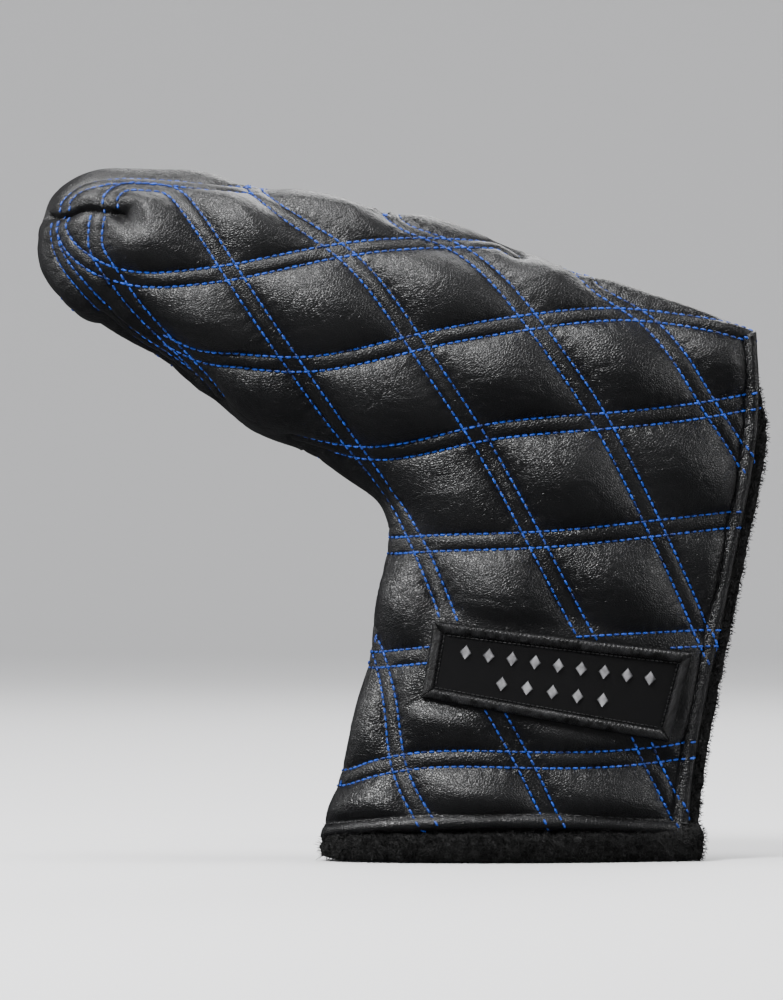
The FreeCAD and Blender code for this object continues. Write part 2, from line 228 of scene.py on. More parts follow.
class Skin:
    """The front half of a closed surface round the cover: rows of points from the inner line outwards."""

    def __init__(self, last, inset, spacing, columns, end_half, edge_inset=0.0):
        sections = POCKET + [CORNER] + NECK + [last]
        inner, outer, half, roundness, crown = (np.array(x, float) for x in zip(*sections))
        knots = lengths((inner + outer) / 2)
        corner = len(POCKET)
        fine = np.linspace(0, knots[-1], SECTION_READS)
        rim = self.outer_line(knots, outer, corner, fine)
        throat = spline(knots, inner, fine)
        walk = np.maximum(np.linalg.norm(np.diff(rim, axis=0), axis=1),
                          np.linalg.norm(np.diff(throat, axis=0), axis=1))
        walk = np.concatenate(([0.0], np.cumsum(walk)))
        count = int(walk[-1] / spacing)
        at = np.interp(np.linspace(0, walk[-1], count), walk, fine)
        inner = spline(knots, inner, at)
        outer = self.outer_line(knots, outer, corner, at)
        half = spline(knots, half, at)[:, 0]
        crown = spline(knots, crown, at)[:, 0]
        roundness = np.interp(at, knots, roundness)
        rows = self.toe_rows(inner[0], outer[0], half[0], crown[0], inset)
        rows += list(zip(inner, outer, half, roundness, crown))
        self.points = np.array([self.profile(*row, inset, columns, end_half, edge_inset) for row in rows])
        self.soften(TOE_ROWS + int(np.searchsorted(at, knots[corner])), spacing)
        # 0 in the toe and the pocket, and from 0 to 1 down the neck.
        fall = (at - knots[corner]) / (knots[-1] - knots[corner])
        self.down_neck = np.concatenate((np.zeros(TOE_ROWS), np.clip(fall, 0, 1)))
        self.edge_rows = np.concatenate((np.zeros(TOE_ROWS, bool), at >= knots[corner] - 1e-6))
        self.closed_rows = np.concatenate((np.ones(TOE_ROWS), roundness)) > 0.99
        self.normals = self.find_normals()

    def soften(self, corner_row, spacing):
        """Evens out the crease that the sharp corner would leave across the side."""
        reach = int(CREASE_REACH / spacing)
        padded = np.pad(self.points, ((reach, reach), (0, 0), (0, 0)), mode="edge")
        window = np.hanning(2 * reach + 3)[1:-1]
        window /= window.sum()
        blurred = sum(w * padded[i:i + len(self.points)] for i, w in enumerate(window))
        from_corner = (np.arange(len(self.points)) - corner_row) * spacing
        near = np.exp(-(from_corner / (CREASE_FADE * CREASE_REACH)) ** 2)[:, None, None]
        # Next to the outline only the thickness changes.
        inside = ease(np.linspace(1, 0, self.points.shape[1]) / OUTLINE_SHARE)
        moved = np.stack((inside, np.ones_like(inside), inside), axis=1)
        self.points += near * moved * (blurred - self.points)

    @staticmethod
    def outer_line(knots, outer, corner, at):
        """The ridge and the open edge are each smooth, and meet in a sharp corner."""
        ridge = spline(knots[:corner + 1], outer[:corner + 1], np.minimum(at, knots[corner]))
        edge = spline(knots[corner:], outer[corner:], np.maximum(at, knots[corner]))
        return np.where((at <= knots[corner])[:, None], ridge, edge)

    @staticmethod
    def toe_rows(inner, outer, half, crown, inset):
        """Sections that shrink towards the tip of the toe."""
        middle = (inner + outer) / 2
        reach = outer - middle
        tip = TOE_TIP[[0, 2]] + (inset, 0)
        upright = np.array((0, np.linalg.norm(reach)))
        rows = []
        for angle in np.linspace(math.pi / 2, 0, TOE_ROWS, endpoint=False):
            centre = middle + (tip - middle) * math.sin(angle)
            arm = reach + (upright - reach) * math.sin(angle)
            shrink = max(math.cos(angle), 1e-4) ** TOE_BLUNTNESS
            rows.append((centre - arm * shrink, centre + arm * shrink, half * shrink, 1.0, crown))
        return rows

    @staticmethod
    def profile(inner, outer, half, roundness, crown, inset, columns, end_half, edge_inset):
        """One row of evenly spaced points from the inner line to the outer line."""
        width = np.linalg.norm(outer - inner)
        along = (outer - inner) / max(width, 1e-9)
        inset = min(inset, half * 0.9)
        start = inner + along * inset
        end = outer - along * (inset * roundness + edge_inset * (1 - roundness))
        height = half - inset
        angle = np.linspace(0, math.pi / 2, PROFILE_STEPS)
        end_ratio = (1 - roundness) * end_half / max(height, 1e-6)
        fall = roundness * np.cos(angle) + (1 - roundness) * np.cos(angle) ** 2
        u = np.concatenate((crown * (1 - np.cos(angle[:-1])), crown + (1 - crown) * np.sin(angle)))
        y = np.concatenate((np.sin(angle[:-1]), end_ratio + (1 - end_ratio) * fall)) * height
        xz = start + (end - start) * u[:, None]
        line = np.stack((xz[:, 0], -y, xz[:, 1]), axis=1)
        walked = lengths(line)
        return read_at(np.linspace(0, walked[-1], columns + 1), walked, line)

    def find_normals(self):
        """The directions that point out of the surface. On the outline they have no part along Y."""
        down = np.gradient(self.points, axis=0)
        across = np.gradient(self.points, axis=1)
        normals = unit(np.cross(down, across))
        normals[0] = TOE_NORMAL
        normals[:, 0, 1] = 0
        normals[self.closed_rows, -1, 1] = 0
        return unit(normals)


def sided(array, side):
    """The front as it is, or the same mirrored to the back."""
    return array * (1, -OUTWARD[side], 1)


def tree_of(points):
    """A triangle tree over a lattice of points, for casting and snapping."""
    rows, columns = points.shape[:2]
    index = np.arange(rows * columns).reshape(rows, columns)
    quads = np.stack((index[:-1, :-1], index[:-1, 1:], index[1:, 1:], index[1:, :-1]), axis=-1)
    return BVHTree.FromPolygons(points.reshape(-1, 3).tolist(), quads.reshape(-1, 4).tolist())


# ---- the paths of the rows ----

LINE_PITCH = 0.5
PATH_PITCH = 0.35
SEAM_REACH = 0.5


def cast(tree, x, z, side):
    """Where the skin lies at that x and z, seen from its own side, and its normal there."""
    sign = OUTWARD[side]
    place, normal, _, _ = tree.ray_cast(Vector((x, sign * FAR, z)), Vector((0, -sign, 0)))
    return place, normal


def on_skin(tree, line, side):
    """A smooth line of (x, z) points laid on the skin, evenly spaced."""
    found = []
    for x, z in smooth_line(line, LINE_PITCH):
        hit, _ = cast(tree, x, z, side)
        if hit is None:
            # Past the outline, the row goes on to the line where front and back meet.
            hit = tree.find_nearest(Vector((x, 0, z)))[0]
            if abs(hit.y) > SEAM_REACH:
                continue
        found.append(tuple(hit))
    return even_line(np.array(found), PATH_PITCH)


def even_line(points, pitch):
    """The same line with its points about a pitch apart."""
    walked = lengths(points)
    count = max(2, int(walked[-1] / pitch))
    return read_at(np.linspace(0, walked[-1], count), walked, points)


def snapped(tree, points):
    """Points moved to the nearest place on the skin, and the normals there."""
    places = []
    normals = []
    for point in points:
        place, normal, _, _ = tree.find_nearest(Vector(point))
        places.append(tuple(place))
        normals.append(tuple(normal))
    return np.array(places), np.array(normals)


def beside(tree, path, offset):
    """The line that runs next to a path at a sideways distance."""
    _, normals = snapped(tree, path)
    tangents = unit(np.gradient(path, axis=0))
    moved = path + unit(np.cross(normals, tangents)) * offset
    return snapped(tree, moved)[0]


def nearby(points):
    """A tree for finding the nearest of some points."""
    kd = KDTree(len(points))
    for i, point in enumerate(points):
        kd.insert(point, i)
    kd.balance()
    return kd


def path_distance(points, path):
    """How far each point is from a path."""
    kd = nearby(path)
    return np.array([kd.find(point)[2] for point in points])


class Rows:
    """The middle lines of one family of rows on one side, with a quick way to find the nearest."""

    def __init__(self, tree, lines, side):
        self.paths = [on_skin(tree, line, side) for line in lines]
        self.walked = np.concatenate([lengths(path) + 10 * FAR * i for i, path in enumerate(self.paths)])
        self.kd = nearby(np.concatenate(self.paths))

    def nearest(self, points):
        """For each point, the distance to the family and how far along a row that is."""
        found = [self.kd.find(point) for point in points]
        return np.array([f[2] for f in found]), self.walked[[f[1] for f in found]]


# ---- the relief ----

HEM_WIDTH = 4.0
HEM_RISE = 1.3
HEM_SWELL = 0.4
HEM_WANDER = 0.22
HEM_PILLOW_REACH = 7.0
SEAM_WALK = 1.6
SEAM_GROOVE = (0.5, 0.5)
SEAM_CALM = (0.5, 3.0)
FULLNESS = 0.15
GATHER = 0.13
GATHER_TURNS = 1.7
GATHER_SWING = 2.2
GATHER_FROM_ROW = 1.6
GATHER_REACH = 2.0
WORN_CREASE = (0.16, 0.06)
WORN_SWELL = 0.12
LIP_REACH = 8.0
LIP_CALM = 0.5
MOUTH_DENT = (1.8, 3.0)
MOUTH_SEAM = (2.0, 0.7)
HOLLOW = (2.6, 3.2)
HOLLOW_LENGTH = 14.0
PUFF = (1.5, 4.6)
PATCH_MARGIN = 6.0
PATCH_SINK = 0.9


def bulge(distance, reach):
    """A stuffed panel's rise from a seam: steep at the seam, level in the middle."""
    left = 1 - np.clip(distance / reach, 0, 1)
    return 0.5 * np.sqrt(np.maximum(1 - left ** 2, 0)) + 0.5 * (1 - left ** 2)


def quilt_share(distance):
    """How far the leather rises beside a pair of rows, from 0 at a stitch line to 1 on a pillow."""
    outside = bulge(distance - ROW_HALF - STITCH_RADIUS, PILLOW_REACH)
    inside = CHANNEL * np.sqrt(np.maximum(1 - (distance / (ROW_HALF - STITCH_RADIUS)) ** 2, 0))
    return np.where(distance < ROW_HALF, inside, outside)


def wavy(points, size, seed):
    """Soft noise over points, about -1 to 1, with blobs of that size."""
    shift = Vector((17.3, 5.1, 9.7)) * seed
    return np.array([noise.noise(Vector(p) / size + shift) for p in points])


def patch_sides():
    """Each side of the patch: its first corner, its direction, the direction inwards, and its length."""
    corners = np.array(PATCH)
    for a, b in zip(corners, np.roll(corners, -1, axis=0)):
        length = np.linalg.norm(b - a)
        along = (b - a) / length
        yield a, along, np.array((along[1], -along[0])), length


def past_patch(xz):
    """How far outside the patch's outline places are. Inside it the distance is below 0."""
    far = np.full(len(xz), -np.inf)
    for corner, _, inward, _ in patch_sides():
        far = np.maximum(far, (corner - xz) @ inward)
    return far


def inside_patch(points, margin):
    """1 inside the patch's outline, easing to 0 over the margin outside it."""
    return 1 - ease(past_patch(points[:, [0, 2]]) / margin)


def hem_share(distance):
    """Beside a topstitched hem: a factor on the pillows, and the rise of the hem's own roll."""
    pillow = bulge(distance - HEM_WIDTH, HEM_PILLOW_REACH)
    roll = HEM_RISE * np.sqrt(np.maximum(1 - ((distance - HEM_WIDTH / 2) / (HEM_WIDTH / 2)) ** 2, 0))
    on_hem = distance < HEM_WIDTH
    return np.where(on_hem, 0, pillow), np.where(on_hem, roll, 0)


def walked_across(skin):
    """How far each point of the skin lies from the inner line, the open edge and the neck's rim."""
    cells = np.linalg.norm(np.diff(skin.points, axis=1), axis=2)
    none = np.zeros((len(cells), 1))
    from_seam = np.concatenate((none, np.cumsum(cells, axis=1)), axis=1)
    from_edge = np.concatenate((np.cumsum(cells[:, ::-1], axis=1)[:, ::-1], none), axis=1)
    from_edge = np.where(skin.edge_rows[:, None], from_edge, FAR)
    steps = np.linalg.norm(np.diff(skin.points, axis=0), axis=2)
    from_rim = np.cumsum(steps[::-1], axis=0)[::-1]
    from_rim = np.concatenate((from_rim, np.zeros_like(from_rim[:1])), axis=0)
    return from_seam.ravel(), from_edge.ravel(), from_rim.ravel()


def gathers(points, distance, walk, seed):
    """Small gathers that run out from the stitch lines of one family of rows."""
    swing = GATHER_SWING * wavy(points, 9.0, seed)
    strength = 0.6 + 0.4 * wavy(points, 14.0, seed + 20)
    gather = np.sin(walk * GATHER_TURNS + swing) * strength
    return gather * bell(distance - ROW_HALF - GATHER_FROM_ROW, GATHER, GATHER_REACH)


def worn(points):
    """The creases and swells of worked leather, long and slanting."""
    x, y, z = points.T
    slanted = np.stack((x * 0.5 - z * 0.3, y, z + x * 0.6), axis=1)
    return WORN_SWELL * wavy(slanted, 4.0, 5) - bell(wavy(slanted, 5.5, 8), *WORN_CREASE)


def with_mouth(height, points, side, toe_path, fold_path):
    """Adds the toe's mouth: two rounded lips that meet in a deep seam, and a hollow at its end."""
    from_toe = path_distance(points, toe_path)
    height = height * (1 - LIP_CALM * (1 - ease(from_toe / LIP_REACH)))
    height -= bell(from_toe, *MOUTH_DENT) + bell(from_toe, *MOUTH_SEAM)
    height -= bell(path_distance(points, fold_path), *HOLLOW) * (1 - ease(from_toe / HOLLOW_LENGTH))
    if side == "front":
        height += bell(np.linalg.norm(points[:, [0, 2]] - EAR_PUFF, axis=1), *PUFF)
    return height


def relief(points, skin, side, steep, shallow, toe_path, fold_path):
    """How far each point of the leather stands out from the smooth skin."""
    steep_distance, steep_walk = steep.nearest(points)
    shallow_distance, shallow_walk = shallow.nearest(points)
    from_seam, from_edge, from_rim = walked_across(skin)
    edge_factor, edge_roll = hem_share(from_edge)
    rim_factor, rim_roll = hem_share(from_rim)
    free = edge_factor * rim_factor
    roll = np.maximum(edge_roll, rim_roll)
    rise = quilt_share(steep_distance) * quilt_share(shallow_distance) * free
    height = PILLOW * (rise * (1 + FULLNESS * wavy(points, 26.0, 1)) - PILLOW_SINK)
    height += PILLOW_SINK * PILLOW * HEM_SWELL * roll / HEM_RISE
    height += roll * (1 + HEM_WANDER * wavy(points, 5.0, 31))
    height += gathers(points, steep_distance, steep_walk, 3) * free
    height += gathers(points, shallow_distance, shallow_walk, 4) * free
    height += worn(points) * rise
    height = with_mouth(height, points, side, toe_path, fold_path)
    # The seam along the inner line.
    neck = np.repeat(ease(skin.down_neck * 6), skin.points.shape[1])
    height -= neck * bell(from_seam - SEAM_WALK, *SEAM_GROOVE)
    height *= 1 - neck * bell(from_seam, *SEAM_CALM)
    # The leather lies flat under the patch.
    if side == "front":
        under = inside_patch(points, PATCH_MARGIN)
        height = height * (1 - under) - PATCH_SINK * under
    return height


# ---- meshes ----


def mesh_of(bm, name):
    """A mesh with what a bmesh holds, which is then let go."""
    mesh = bpy.data.meshes.new(name)
    bm.to_mesh(mesh)
    bm.free()
    return mesh


def lattice_mesh(name, points):
    """A sheet of quads over a lattice of points, in metres."""
    rows, columns = points.shape[:2]
    bm = bmesh.new()
    bmesh.ops.create_grid(bm, x_segments=columns - 1, y_segments=rows - 1, size=0.5)
    mesh = mesh_of(bm, name)
    flat = np.zeros(len(mesh.vertices) * 3)
    mesh.vertices.foreach_get("co", flat)
    flat = flat.reshape(-1, 3)
    column = np.rint((flat[:, 0] + 0.5) * (columns - 1)).astype(int)
    row = np.rint((flat[:, 1] + 0.5) * (rows - 1)).astype(int)
    mesh.vertices.foreach_set("co", (points[row, column] * MM).ravel())
    return mesh


def finished(name, mesh, material, flip=False, merge=0.0):
    """An object at the origin with smooth faces that point outwards."""
    bm = bmesh.new()
    bm.from_mesh(mesh)
    if merge:
        bmesh.ops.remove_doubles(bm, verts=bm.verts, dist=merge)
    if flip:
        bmesh.ops.reverse_faces(bm, faces=bm.faces)
    for face in bm.faces:
        face.smooth = True
    bm.to_mesh(mesh)
    bm.free()
    mesh.materials.clear()
    mesh.materials.append(material)
    piece = bpy.data.objects.new(name, mesh)
    bpy.context.scene.collection.objects.link(piece)
    return piece


def joined_mesh(name, meshes):
    """Several meshes as one."""
    bm = bmesh.new()
    for mesh in meshes:
        bm.from_mesh(mesh)
    return mesh_of(bm, name)


# ---- materials ----


def new_material(name, colour, roughness, **sockets):
    """A Principled material, its shader and the start of its node tree."""
    material = bpy.data.materials.new(name)
    material.use_nodes = True
    tree = material.node_tree
    shader = tree.nodes["Principled BSDF"]
    shader.inputs["Base Color"].default_value = (*colour, 1)
    shader.inputs["Roughness"].default_value = roughness
    for socket, value in sockets.items():
        shader.inputs[socket.replace("_", " ")].default_value = value
    return material, tree, shader


def texture(tree, kind, scale, **settings):
    """A texture node on object coordinates."""
    place = tree.nodes.new("ShaderNodeTexCoord")
    node = tree.nodes.new(kind)
    node.inputs["Scale"].default_value = scale
    for key, value in settings.items():
        if key in node.inputs:
            node.inputs[key].default_value = value
        else:
            setattr(node, key, value)
    tree.links.new(place.outputs["Object"], node.inputs["Vector"])
    return node


def ramp(tree, source, stops):
    """A colour ramp fed by a socket; stops are (place, grey or colour)."""
    node = tree.nodes.new("ShaderNodeValToRGB")
    elements = node.color_ramp.elements
    while len(elements) < len(stops):
        elements.new(0.5)
    for element, (place, colour) in zip(elements, stops):
        element.position = place
        rgb = colour if isinstance(colour, tuple) else (colour,) * 3
        element.color = (*rgb, 1)
    tree.links.new(source, node.inputs["Fac"])
    return node.outputs["Color"]


def bump(tree, source, distance, strength, below=None):
    """Fine relief from a socket, on top of the relief below it."""
    node = tree.nodes.new("ShaderNodeBump")
    node.inputs["Distance"].default_value = distance
    node.inputs["Strength"].default_value = strength
    tree.links.new(source, node.inputs["Height"])
    if below is not None:
        tree.links.new(below, node.inputs["Normal"])
    return node.outputs["Normal"]


def turned(tree, node, rotation, scale):
    """Turns and stretches the coordinates that a texture reads."""
    mapping = tree.nodes.new("ShaderNodeMapping")
    mapping.inputs["Rotation"].default_value = rotation
    mapping.inputs["Scale"].default_value = scale
    link = node.inputs["Vector"].links[0]
    source = link.from_socket
    tree.links.remove(link)
    tree.links.new(source, mapping.inputs["Vector"])
    tree.links.new(mapping.outputs["Vector"], node.inputs["Vector"])


def leather_material():
    """Black leather: pebbled grain, a finer skin grain, slanting wrinkles, and a gloss that wanders."""
    material, tree, shader = new_material("black_leather", (0.004, 0.004, 0.0045), 0.36, IOR=1.5)
    link = tree.links.new
    pebble = texture(tree, "ShaderNodeTexVoronoi", 1350, feature="DISTANCE_TO_EDGE")
    turned(tree, pebble, (0.0, 0.5, 0.0), (1.0, 1.0, 1.25))
    fine = texture(tree, "ShaderNodeTexNoise", 3200, Detail=2.0)
    wrinkle = texture(tree, "ShaderNodeTexNoise", 230, Detail=3.0, Distortion=0.8)
    turned(tree, wrinkle, (0.0, 0.6, 0.0), (0.7, 1.0, 1.8))
    cloud = texture(tree, "ShaderNodeTexNoise", 38, Detail=3.0)
    shine = ramp(tree, cloud.outputs["Fac"], [(0.3, 0.31), (0.7, 0.42)])
    link(shine, shader.inputs["Roughness"])
    tone = ramp(tree, cloud.outputs["Fac"], [(0.35, (0.003, 0.003, 0.0035)), (0.7, (0.006, 0.006, 0.0065))])
    link(tone, shader.inputs["Base Color"])
    groove = ramp(tree, pebble.outputs["Distance"], [(0.0, 0.0), (0.2, 1.0)])
    lines = ramp(tree, wrinkle.outputs["Fac"], [(0.46, 1.0), (0.5, 0.0), (0.54, 1.0)])
    normal = bump(tree, groove, 0.0001, 0.6)
    normal = bump(tree, fine.outputs["Fac"], 0.00004, 0.35, normal)
    normal = bump(tree, lines, 0.00012, 0.32, normal)
    link(normal, shader.inputs["Normal"])
    return material


def thread_material(name, shaded_colour, lit_colour, roughness=0.42):
    """Thread whose colour runs at random from stitch to stitch between a painted shade and a painted
    highlight, with a fine twist.
    """
    material, tree, shader = new_material(name, lit_colour, roughness)
    # Painted light and shade: noise spreads each stitch's colour between the shaded tone and the lit tone.
    painted_light_noise = texture(tree, "ShaderNodeTexNoise", 420, Detail=2.0)
    tone = ramp(tree, painted_light_noise.outputs["Fac"], [(0.32, shaded_colour), (0.66, lit_colour)])
    tree.links.new(tone, shader.inputs["Base Color"])
    twist = texture(tree, "ShaderNodeTexWave", 1500, Distortion=3.0)
    tree.links.new(bump(tree, twist.outputs["Fac"], 0.00008, 0.5), shader.inputs["Normal"])
    return material


def fleece_material():
    """Curled black pile, with a little light on the tips."""
    grey = (0.006, 0.006, 0.006)
    material, tree, shader = new_material("black_fleece", grey, 0.8, Specular_IOR_Level=0.3)
    curl = texture(tree, "ShaderNodeTexNoise", 900, Detail=4.0, Distortion=1.5)
    tone = ramp(tree, curl.outputs["Fac"], [(0.4, 0.002), (0.6, 0.008), (0.74, 0.032)])
    tree.links.new(tone, shader.inputs["Base Color"])
    tree.links.new(bump(tree, curl.outputs["Fac"], 0.0008, 0.8), shader.inputs["Normal"])
    return material


def cloth_material(name, colour, scale):
    """A plain weave: two crossing sets of fine ribs, with painted shade in the grooves between them."""
    material, tree, shader = new_material(name, colour, 0.8, Specular_IOR_Level=0.2)
    warp = texture(tree, "ShaderNodeTexWave", scale, bands_direction="X")
    weft = texture(tree, "ShaderNodeTexWave", scale, bands_direction="Z")
    cross = tree.nodes.new("ShaderNodeMath")
    cross.operation = "MAXIMUM"
    tree.links.new(warp.outputs["Fac"], cross.inputs[0])
    tree.links.new(weft.outputs["Fac"], cross.inputs[1])
    # Painted shade: the colour falls to under half where the ribs' bump is low.
    painted_groove_shade = tuple(c * 0.45 for c in colour)
    tone = ramp(tree, cross.outputs[0], [(0.2, painted_groove_shade), (0.9, colour)])
    tree.links.new(tone, shader.inputs["Base Color"])
    tree.links.new(bump(tree, cross.outputs[0], 0.00012, 0.8), shader.inputs["Normal"])
    return material


# ---- leather ----

HEM_RADIUS = 1.25
MEETING = 10.0
OUTLINE_CALM = 0.4
HEM_TURN_STEPS = 6
HEM_TURNED = (2.0, 4.5)
SEAT_START = 6.0
SEAT_REACH = 14.0
LEAST_LEAN = 0.05


def rolled(points, outward, normals, scale):
    """Rows of points that carry an edge on round a small roll and back inside."""
    rows = []
    for step in range(1, HEM_TURN_STEPS + 1):
        angle = math.pi * step / HEM_TURN_STEPS
        rows.append(points + (outward * math.sin(angle) - normals * (1 - math.cos(angle)))
                    * HEM_RADIUS * scale[:, None])
    for back in HEM_TURNED:
        rows.append(points + (-outward * back - normals * 2 * HEM_RADIUS) * scale[:, None])
    return rows


def with_hems(points, normals, skin):
    """Turns the leather in along the open edge, and then along the bottom of the neck."""
    open_rows = ease((skin.down_neck * 100) * skin.edge_rows)
    outward = unit(points[:, -1] - points[:, -4])
    extra = rolled(points[:, -1], outward, normals[:, -1], open_rows)
    wide = np.concatenate((points, np.stack(extra, axis=1)), axis=1)
    taper = np.concatenate((np.ones(points.shape[1]), np.linspace(0.8, 0, len(extra))))
    outward = unit(wide[-1] - wide[-4])
    last_normals = np.concatenate((normals[-1], np.repeat(normals[-1, -1:], len(extra), axis=0)))
    below = rolled(wide[-1], outward, last_normals, taper)
    return np.concatenate((wide, np.stack(below, axis=0)), axis=0)


class Panel:
    """One side's leather: its smooth skin, its rows, and its relief."""

    def __init__(self, side, skin, steep, shallow):
        self.side = side
        self.skin = skin
        self.smooth = sided(skin.points, side)
        self.normals = sided(skin.normals, side)
        self.tree = tree_of(self.smooth)
        self.steep = Rows(self.tree, steep, side)
        self.shallow = Rows(self.tree, shallow, side)
        self.toe = on_skin(self.tree, TOE_SEAM, side)
        fold = on_skin(self.tree, EAR_FOLD, side)
        flat = self.smooth.reshape(-1, 3)
        height = relief(flat, skin, side, self.steep, self.shallow, self.toe, fold)
        self.height = height.reshape(self.smooth.shape[:2])

    def shape(self, inner_line, ridge_line):
        """Raises the leather, so that both sides meet along the inner line and the ridge."""
        cells = np.linalg.norm(np.diff(self.smooth, axis=1), axis=2)
        walked = np.concatenate((np.zeros((len(cells), 1)), np.cumsum(cells, axis=1)), axis=1)
        near_inner = 1 - ease(walked / MEETING)
        near_ridge = (1 - ease((walked[:, -1:] - walked) / MEETING)) * ~self.skin.edge_rows[:, None]
        height = self.height + near_inner * (inner_line - self.height[:, 0])[:, None]
        height = height + near_ridge * (ridge_line - self.height[:, -1])[:, None]
        # The rows next to the tip of the toe come together at one height.
        near_tip = np.linspace(1, 0, TIP_ROWS)[:, None]
        tip = (inner_line[0] + ridge_line[0]) / 2
        height[:TIP_ROWS] += near_tip * (tip - height[:TIP_ROWS])
        self.shaped = self.smooth + self.normals * height[..., None]
        self.shaped[:, 0, 1] = 0
        self.shaped[~self.skin.edge_rows, -1, 1] = 0
        self.surface = tree_of(self.shaped)

    def seat(self, point, lift):
        """The place on the finished leather under a point of the smooth skin, and the normal there."""
        _, normal, _, _ = self.tree.find_nearest(Vector(point))
        if normal.y * OUTWARD[self.side] < -LEAST_LEAN:
            normal = -normal
        start = Vector(point) + normal * SEAT_START
        hit, _, _, _ = self.surface.ray_cast(start, -normal, SEAT_REACH)
        if hit is None:
            return None, normal
        return hit + normal * lift, normal


def leather_piece(panel, material):
    """One side's leather, turned in at its hems."""
    name = "leather_" + panel.side
    mesh = lattice_mesh(name, with_hems(panel.shaped, panel.normals, panel.skin))
    return finished(name, mesh, material, flip=panel.side == "front", merge=2e-6)


# ---- stitches ----

TOPSTITCH_PITCH = 2.8
TOPSTITCH_LENGTH = 2.2
TOPSTITCH_RADIUS = 0.3
TOPSTITCH_DIP = 0.16
TOPSTITCH_LIFT = 0.1
LADDER_PITCH = 1.6
LADDER_LENGTH = 1.5
LADDER_RADIUS = 0.2
LADDER_DIP = 0.1
LADDER_LIFT = 0.35
AHEAD = 0.4
BLUNT_STITCH = 0.6
BLUNT_THREAD = 0.4


def capsule(length, radius, dip, around=6, along=5):
    """One stitch: a fat little thread lying along X, whose ends dip into the leather."""
    bm = bmesh.new()
    bmesh.ops.create_uvsphere(bm, u_segments=around, v_segments=along, radius=0.5)
    for vert in bm.verts:
        x, y, z = vert.co.z, vert.co.x, vert.co.y
        full = math.copysign(abs(2 * x) ** BLUNT_STITCH, x) / 2
        vert.co = (full * length, y * 2 * radius, z * 2 * radius - dip * (2 * full) ** 2)
    bmesh.ops.recalc_face_normals(bm, faces=bm.faces)
    return mesh_of(bm, "stitch")


def frame_at(place, along, normal):
    """Axes for a small part that lies along a direction on a surface."""
    x = Vector(along).normalized()
    z = (normal - x * normal.dot(x)).normalized()
    return np.array(place), np.array((x, z.cross(x), z))


def scattered(name, template, frames):
    """Copies of a small mesh, one in each frame, as one mesh in metres."""
    base = np.zeros(len(template.vertices) * 3)
    template.vertices.foreach_get("co", base)
    base = base.reshape(-1, 3)
    bm = bmesh.new()
    for place, axes in frames:
        template.vertices.foreach_set("co", ((place + base @ axes) * MM).ravel())
        bm.from_mesh(template)
    return mesh_of(bm, name)


def stitch_frames(panel, path, pitch, lift, keep=lambda point: True):
    """A frame for every stitch along a path, where there is leather to sew."""
    walked = lengths(path)
    frames = []
    for middle in np.arange(pitch / 2, walked[-1], pitch):
        here, ahead = read_at(np.array((middle, middle + AHEAD)), walked, path)
        place, normal = panel.seat(here, lift)
        if place is not None and keep(here) and np.linalg.norm(ahead - here) > 1e-6:
            frames.append(frame_at(place, ahead - here, normal))
    return frames


def off_patch(point):
    """Whether a place is clear of the patch."""
    return inside_patch(np.array([point]), 0.5)[0] < 0.01


def quilting_piece(panel, family, material):
    """All the blue stitches of one family of rows."""
    rows = getattr(panel, family)
    keep = off_patch if panel.side == "front" else lambda point: True
    frames = []
    for path in rows.paths:
        for offset in (-ROW_HALF, ROW_HALF):
            line = beside(panel.tree, path, offset)
            frames += stitch_frames(panel, line, STITCH_PITCH, STITCH_LIFT, keep)
    stitch = capsule(STITCH_LENGTH, STITCH_RADIUS, STITCH_DIP)
    name = "quilting_" + family + "_" + panel.side
    return finished(name, scattered(name, stitch, frames), material)


def set_in(lines):
    """The line through the places a hem's width before the ends of other lines."""
    places = []
    for line in lines:
        walked = lengths(line)
        places.append(read_at(walked[-1] - HEM_WIDTH, walked, line))
    return even_line(np.array(places), LINE_PITCH)


def topstitch_piece(panel, material):
    """The black stitches along the open edge and along the neck's hem."""
    stitch = capsule(TOPSTITCH_LENGTH, TOPSTITCH_RADIUS, TOPSTITCH_DIP)
    frames = []
    for lines in (panel.smooth[panel.skin.edge_rows], panel.smooth.swapaxes(0, 1)):
        frames += stitch_frames(panel, set_in(lines), TOPSTITCH_PITCH, TOPSTITCH_LIFT)
    name = "topstitch_" + panel.side
    return finished(name, scattered(name, stitch, frames), material)


def threads(name, runs, radius, around=5, along=7):
    """Threads with rounded ends, one along each run. A run is its points and the normals there."""
    bm = bmesh.new()
    bmesh.ops.create_uvsphere(bm, u_segments=around, v_segments=along, radius=1.0)
    ball = np.array([tuple(vert.co) for vert in bm.verts])
    template = mesh_of(bm, "thread")
    share = np.arccos(np.clip(ball[:, 2], -1, 1)) / math.pi
    swell = np.hypot(ball[:, 0], ball[:, 1]) ** BLUNT_THREAD
    angle = np.arctan2(ball[:, 1], ball[:, 0])
    bm = bmesh.new()
    for points, normals in runs:
        walked = lengths(points)
        at = share * walked[-1]
        tangents = unit(np.gradient(points, axis=0))
        sides = unit(np.cross(tangents, normals))
        centre, across, up = (read_at(at, walked, part) for part in (points, sides, normals))
        offset = across * np.cos(angle)[:, None] + up * np.sin(angle)[:, None]
        placed = centre + offset * (radius * swell)[:, None]
        template.vertices.foreach_set("co", (placed * MM).ravel())
        bm.from_mesh(template)
    return mesh_of(bm, name)


def toe_seam_piece(panels, material):
    """Ladder stitches deep in the mouth of the toe, on both sides."""
    frames = []
    for panel in panels.values():
        for place, axes in stitch_frames(panel, panel.toe, LADDER_PITCH, LADDER_LIFT):
            frames.append((place, axes[[1, 0, 2]] * ((1,), (-1,), (1,))))
    name = "toe_ladder_stitches"
    stitch = capsule(LADDER_LENGTH, LADDER_RADIUS, LADDER_DIP)
    return finished(name, scattered(name, stitch, frames), material)


# ---- patch ----

